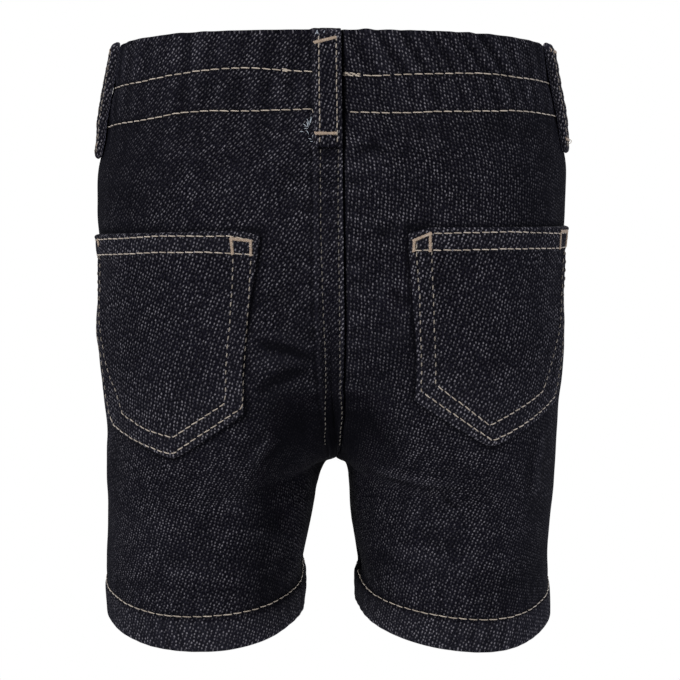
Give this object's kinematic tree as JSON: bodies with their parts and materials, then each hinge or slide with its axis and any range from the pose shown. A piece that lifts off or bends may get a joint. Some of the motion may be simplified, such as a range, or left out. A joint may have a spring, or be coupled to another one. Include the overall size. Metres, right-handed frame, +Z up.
{
  "type": "denim shorts",
  "caption": "Infant's pull-on denim shorts with a gathered elastic waistband, belt loops and patch back pockets, hollow and open as if worn.",
  "frame": {"origin": "centre of the waist opening, level with the waist edge at its two sides", "axes": "+X to the wearer's right, +Y to the front, +Z up: the back of the shorts faces -Y"},
  "size_m": [0.1787, 0.1246, 0.2294],
  "materials": {
    "denim": "dark indigo rinsed denim, matt",
    "topstitching": "tan cotton-wrapped thread"
  },
  "bodies": {
    "root": {"back_left": "denim", "back_right": "denim", "front_left": "denim", "front_right": "denim", "waistband_back_left": "denim", "waistband_back_right": "denim", "waistband_front_left": "denim", "waistband_front_right": "denim", "pocket_left": "denim", "pocket_right": "denim", "belt_loop_centre": "denim", "belt_loop_left": "denim", "belt_loop_right": "denim"}
  },
  "joints": []
}
